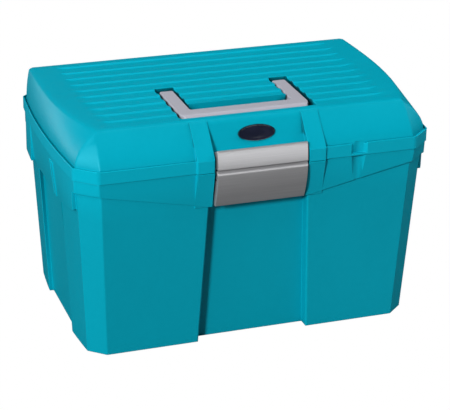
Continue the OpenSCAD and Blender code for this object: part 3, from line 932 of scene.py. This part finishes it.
@dataclass
class CarryHandle(Assembly):
    """Bail handle that lies in the roof.

    Attributes:
        finish: its material.
        edge, segments: width of its rounds and the faces across one.
        bore_edge, bore_length: width of the rounds at the bores, whose edges are shorter than this.
    """

    finish: bpy.types.Material
    edge: float = 2.0 * MM
    bore_edge: float = 0.3 * MM
    bore_length: float = 1.5 * MM
    segments: int = 4

    def radius_of(self, middle: Vector, along: Vector, length: float) -> float:
        """Width of a round: small around the bores, the usual one elsewhere."""
        return self.bore_edge if length < self.bore_length else 0.0

    def build(self) -> None:
        """Makes and dresses the handle."""
        bail = self.copy_of("carry_handle", Body.HANDLE, Slot.GREY, "bail")
        Rounding(self.edge, segments=self.segments, rule=self.radius_of).apply(bail)
        self.dress(bail, self.finish)


@dataclass
class FrontLatch(Assembly):
    """Wide front latch: a fixed upper half and a lever."""

    finish: bpy.types.Material
    edge: float = 0.5 * MM

    def build(self) -> None:
        """Makes and dresses both halves."""
        for node, body in (("latch_plate", Body.LID), ("latch_lever", Body.LEVER)):
            half = self.copy_of(node, body, Slot.GREY, node.replace("latch", "clasp"))
            Rounding(self.edge).apply(half)
            self.dress(half, self.finish)


@dataclass
class Badge(Assembly):
    """Plain oval badge with a raised border and a domed field, leaning with the lid's slope.

    Attributes:
        finish: its material.
        half_width, half_height, thick: half axes of the oval and its thickness.
        border, sink: width of the border and how far the field's rim lies under it.
        dome, rings: height of the field's dome and the steps that form it.
        segments: sides of the oval.
        edge, edge_segments: width of its rounds and the faces across one.
        rim_fold: angle between two faces past which their edge is rounded.
        middle, lean: middle of its back, and its lean from upright.
    """

    finish: bpy.types.Material
    half_width: float = 20.0 * MM
    half_height: float = 8.4 * MM
    thick: float = 1.6 * MM
    border: float = 1.2 * MM
    sink: float = 0.5 * MM
    dome: float = 0.55 * MM
    rings: int = 5
    segments: int = 72
    edge: float = 0.18 * MM
    edge_segments: int = 2
    rim_fold: float = math.radians(50.0)
    middle: Vector = field(default_factory=lambda: Vector((0.0, -109.93, 230.79)) * MM)
    lean: float = math.radians(27.93)

    def raise_top(self, mesh: bmesh.types.BMesh, top: bmesh.types.BMFace, height: float) -> None:
        """Moves the top face along its normal."""
        bmesh.ops.translate(mesh, vec=Vector((0.0, 0.0, height)), verts=top.verts)

    def shape(self) -> bmesh.types.BMesh:
        """Models the badge lying flat.

        Returns:
            The mesh, with the middle of its back at the origin.
        """
        mesh = bmesh.new()
        bmesh.ops.create_circle(mesh, cap_ends=True, radius=1.0, segments=self.segments)
        bmesh.ops.scale(mesh, vec=Vector((self.half_width, self.half_height, 1.0)), verts=mesh.verts)
        made = bmesh.ops.extrude_face_region(mesh, geom=mesh.faces[:])
        top = next(g for g in made["geom"] if isinstance(g, bmesh.types.BMFace))
        self.raise_top(mesh, top, self.thick)
        bmesh.ops.inset_region(mesh, faces=[top], thickness=self.border, use_even_offset=True)
        bmesh.ops.inset_region(mesh, faces=[top], thickness=self.edge, use_even_offset=True)
        self.raise_top(mesh, top, -self.sink)
        step = math.pi / 2 / self.rings
        for ring in range(self.rings):
            left = (self.rings - ring) / (self.rings + 1 - ring)
            bmesh.ops.inset_region(mesh, faces=[top], thickness=0.0)
            bmesh.ops.scale(mesh, vec=Vector((left, left, 1.0)), verts=top.verts)
            self.raise_top(mesh, top, self.dome * (math.sin(step * (ring + 1)) - math.sin(step * ring)))
        bmesh.ops.recalc_face_normals(mesh, faces=mesh.faces)
        bmesh.ops.bevel(
            mesh,
            geom=[e for e in mesh.edges if e.calc_face_angle(0.0) > self.rim_fold],
            offset=self.edge,
            offset_type="OFFSET",
            affect="EDGES",
            segments=self.edge_segments,
            profile=0.5,
            material=-1,
        )
        return mesh

    def build(self) -> None:
        """Makes and dresses the badge."""
        mesh = self.shape()
        turn = Matrix.Rotation(math.pi / 2 - self.lean, 4, "X")
        bmesh.ops.transform(mesh, matrix=Matrix.Translation(self.middle) @ turn, verts=mesh.verts)
        for face in mesh.faces:
            face.smooth = True
        data = bpy.data.meshes.new("oval_badge")
        mesh.to_mesh(data)
        mesh.free()
        oval = bpy.data.objects.new("oval_badge", data)
        bpy.context.scene.collection.objects.link(oval)
        self.claim(oval, ("badge",), Body.LID, Slot.BADGE)
        self.dress(oval, self.finish)


@dataclass
class Tray(Assembly):
    """Lift-out tray with two loose dividers."""

    finish: bpy.types.Material
    edge: float = 0.6 * MM
    pieces: dict[str, str] = field(
        default_factory=lambda: {
            "lift_out_tray": "tray",
            "tray_divider_front": "divider_front",
            "tray_divider_rear": "divider_rear",
        }
    )

    def build(self) -> None:
        """Makes and dresses the tray and its dividers."""
        for node, name in self.pieces.items():
            piece = self.copy_of(node, Body.TRAY, Slot.TRAY, name)
            Rounding(self.edge).apply(piece)
            self.dress(piece, self.finish)


@dataclass
class Hardware(Assembly):
    """Steel pins and screws.

    Attributes:
        finish: their material.
        edge: width of their rounds.
        screw_x: distance of each screw from the middle of the box.
        cross_long, cross_thin, cross_depth: half length, half width and depth of a cross recess.
        cut_slack: distance at which a corner counts as lying on a cut.
        head_slack: depth under the heads' tops within which a face belongs to a top.
    """

    finish: bpy.types.Material
    edge: float = 0.4 * MM
    screw_x: float = 30.0 * MM
    cross_long: float = 2.0 * MM
    cross_thin: float = 0.5 * MM
    cross_depth: float = 1.1 * MM
    cut_slack: float = 0.0001 * MM
    head_slack: float = 0.01 * MM

    def cut_crosses(self, screws: bpy.types.Object) -> None:
        """Sinks a cross recess in both screw heads.

        Args:
            screws: the piece with both screws.
        """
        low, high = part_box("latch_screws")
        mid_z = (low[2] + high[2]) / 2
        mesh = bmesh.new()
        mesh.from_mesh(screws.data)
        for reach in (-self.cross_long, -self.cross_thin, self.cross_thin, self.cross_long):
            lines = [(Vector((0.0, 0.0, mid_z + reach)), Vector((0.0, 0.0, 1.0)))]
            for middle in (-self.screw_x, self.screw_x):
                lines.append((Vector((middle + reach, 0.0, 0.0)), Vector((1.0, 0.0, 0.0))))
            for point, normal in lines:
                geom = mesh.verts[:] + mesh.edges[:] + mesh.faces[:]
                bmesh.ops.bisect_plane(
                    mesh, geom=geom, dist=self.cut_slack, plane_co=point, plane_no=normal
                )
        cross = []
        for face in mesh.faces:
            middle = face.calc_center_median()
            across, up = abs(abs(middle.x) - self.screw_x), abs(middle.z - mid_z)
            inside = max(across, up) < self.cross_long and min(across, up) < self.cross_thin
            if inside and middle.y > high[1] - self.head_slack:
                cross.append(face)
        bmesh.ops.inset_region(mesh, faces=cross, thickness=0.0, depth=-self.cross_depth)
        mesh.to_mesh(screws.data)
        mesh.free()

    def build(self) -> None:
        """Makes and dresses the pins and screws."""
        rods = {
            "hinge_pin_left": Body.BASE,
            "hinge_pin_right": Body.BASE,
            "handle_pin_left": Body.LID,
            "handle_pin_right": Body.LID,
            "latch_pin": Body.LID,
            "latch_screws": Body.LID,
        }
        for node, body in rods.items():
            rod = self.copy_of(node, body, Slot.STEEL, node.replace("latch", "clasp") + "_steel")
            Rounding(self.edge).apply(rod)
            if node == "latch_screws":
                self.cut_crosses(rod)
            self.dress(rod, self.finish)


class LampKind(Enum):
    """Kinds of studio lamp."""

    FAR = "SUN"
    PANEL = "AREA"


class LampUse(Enum):
    """What a lamp lights: everything, matt surfaces only, or reflections only."""

    FULL = (True, True)
    FILL = (True, False)
    CARD = (False, True)


@dataclass(frozen=True)
class Lamp:
    """One soft studio lamp, aimed at the middle of the box.

    Attributes:
        azimuth, elevation: where it hangs, in degrees to the left of the front and above the floor.
        size: width of a panel in metres, or angle of a far lamp in degrees.
        power: watts of a panel, or watts per square metre of a far lamp.
        use: what it lights.
        distance: metres from the middle of the box.
    """

    name: str
    kind: LampKind
    azimuth: float
    elevation: float
    size: float
    power: float
    use: LampUse = LampUse.FILL
    distance: float = 2.4


@dataclass
class Studio:
    """Pale floor, soft lamps and the camera.

    Attributes:
        floor_finish: finish of the floor that the camera sees.
        card_finish: finish of the card that lights the box from below.
        aim: point that the camera and the lamps look at.
        azimuth, elevation, roll: the camera's angles, in degrees.
        distance: metres from the camera to the aim.
        focal_px, image, principal: focal length, size and principal point of the picture, in pixels.
        sensor: width of the camera's sensor, in millimetres.
        floor_half: half the width of the floor.
        sky: strength of the even light from all around.
        lamps: the lamps.
    """

    floor_finish: bpy.types.Material
    card_finish: bpy.types.Material
    aim: Vector = field(default_factory=lambda: Vector((0.0, 0.0, 0.1043)))
    azimuth: float = 19.25
    elevation: float = 23.6
    distance: float = 1.9018
    roll: float = 0.95
    focal_px: float = 1714.0
    image: tuple[int, int] = (450, 410)
    principal: tuple[float, float] = (219.7, 204.4)
    sensor: float = 36.0
    floor_half: float = 6.0
    sky: float = 0.01
    lamps: tuple[Lamp, ...] = (
        Lamp("key", LampKind.FAR, 46.0, 26.0, 9.0, 3.1, LampUse.FULL),
        Lamp("top_fill", LampKind.PANEL, 0.0, 85.0, 0.8, 2.0, LampUse.FILL, 1.0),
        Lamp("left_fill", LampKind.PANEL, 55.0, 40.0, 0.5, 1.2, LampUse.FILL, 0.9),
        Lamp("end_fill", LampKind.PANEL, 85.0, 35.0, 0.5, 1.2, LampUse.FILL, 0.9),
        Lamp("right_fill", LampKind.PANEL, -90.0, 35.0, 1.6, 42.0),
        Lamp("back_fill", LampKind.PANEL, 180.0, 12.0, 1.6, 8.0),
        Lamp("front_card", LampKind.PANEL, -19.0, 4.0, 1.2, 10.0, LampUse.CARD),
        Lamp("end_card", LampKind.PANEL, 141.0, 5.0, 0.8, 5.0, LampUse.CARD),
    )

    def towards(self, azimuth: float, elevation: float) -> Vector:
        """Direction from the box to a viewer.

        Args:
            azimuth: degrees to the left of the front.
            elevation: degrees above the floor.

        Returns:
            A unit vector.
        """
        turn, rise = math.radians(azimuth), math.radians(elevation)
        flat = math.cos(rise)
        return Vector((-math.sin(turn) * flat, -math.cos(turn) * flat, math.sin(rise)))

    def build_camera(self) -> None:
        """Sets the camera that the photograph was fitted with."""
        back = self.towards(self.azimuth, self.elevation)
        right = (-back).cross(Vector((0.0, 0.0, 1.0))).normalized()
        up = right.cross(-back)
        roll = math.radians(self.roll)
        x_axis = right * math.cos(roll) + up * math.sin(roll)
        y_axis = up * math.cos(roll) - right * math.sin(roll)
        turn = Matrix((x_axis, y_axis, back)).transposed().to_4x4()
        data = bpy.data.cameras.new("camera")
        data.sensor_width = self.sensor
        data.lens = self.focal_px * self.sensor / self.image[0]
        data.shift_x = (self.image[0] / 2 - self.principal[0]) / self.image[0]
        data.shift_y = (self.principal[1] - self.image[1] / 2) / self.image[0]
        camera = bpy.data.objects.new("camera", data)
        camera.matrix_world = Matrix.Translation(self.aim + back * self.distance) @ turn
        bpy.context.scene.collection.objects.link(camera)
        bpy.context.scene.camera = camera

    def build_lamps(self) -> None:
        """Hangs the lamps and sets the sky."""
        for lamp in self.lamps:
            data = bpy.data.lights.new(lamp.name, lamp.kind.value)
            data.energy = lamp.power
            if lamp.kind is LampKind.FAR:
                data.angle = math.radians(lamp.size)
            else:
                data.shape = "DISK"
                data.size = lamp.size
            back = self.towards(lamp.azimuth, lamp.elevation)
            holder = bpy.data.objects.new(lamp.name, data)
            holder.location = self.aim + back * lamp.distance
            holder.rotation_mode = "QUATERNION"
            holder.rotation_quaternion = back.to_track_quat("Z", "Y")
            holder.visible_diffuse, holder.visible_glossy = lamp.use.value
            bpy.context.scene.collection.objects.link(holder)
        world = bpy.data.worlds.new("sky")
        world.use_nodes = True
        shine = world.node_tree.nodes["Background"].inputs
        shine["Color"].default_value = rgba((1.0, 1.0, 1.0))
        shine["Strength"].default_value = self.sky
        bpy.context.scene.world = world

    def build_floor(self) -> None:
        """Lays the floor that is seen and a duller card that lights the box from below."""
        for name, finish in (("floor", self.floor_finish), ("bounce_card", self.card_finish)):
            mesh = bmesh.new()
            bmesh.ops.create_grid(mesh, x_segments=2, y_segments=2, size=self.floor_half)
            data = bpy.data.meshes.new(name)
            mesh.to_mesh(data)
            mesh.free()
            sheet = bpy.data.objects.new(name, data)
            bpy.context.scene.collection.objects.link(sheet)
            sheet.data.materials.append(finish)
            seen = name == "floor"
            sheet.visible_camera = seen
            sheet.visible_diffuse = not seen
            sheet.visible_glossy = False
            sheet.visible_shadow = not seen

    def build(self) -> None:
        """Makes the whole studio."""
        self.build_camera()
        self.build_lamps()
        self.build_floor()
        view = bpy.context.scene.view_settings
        view.view_transform = "Standard"
        view.look = "None"


def main() -> None:
    """Builds the studio and every sub-assembly in order."""
    logging.basicConfig(level=logging.INFO, format="%(name)s: %(message)s")
    Studio(SEEN_FLOOR.material(), BOUNCE_CARD.material()).build()
    BaseTub(TUB_PLASTIC.material()).build()
    Lid(LID_PLASTIC.material()).build()
    CarryHandle(GREY_PLASTIC.material()).build()
    FrontLatch(SILVER.material()).build()
    Badge(ENAMEL.material()).build()
    Tray(TRAY_PLASTIC.material()).build()
    Hardware(STEEL.material()).build()


if __name__ == "__main__":
    main()
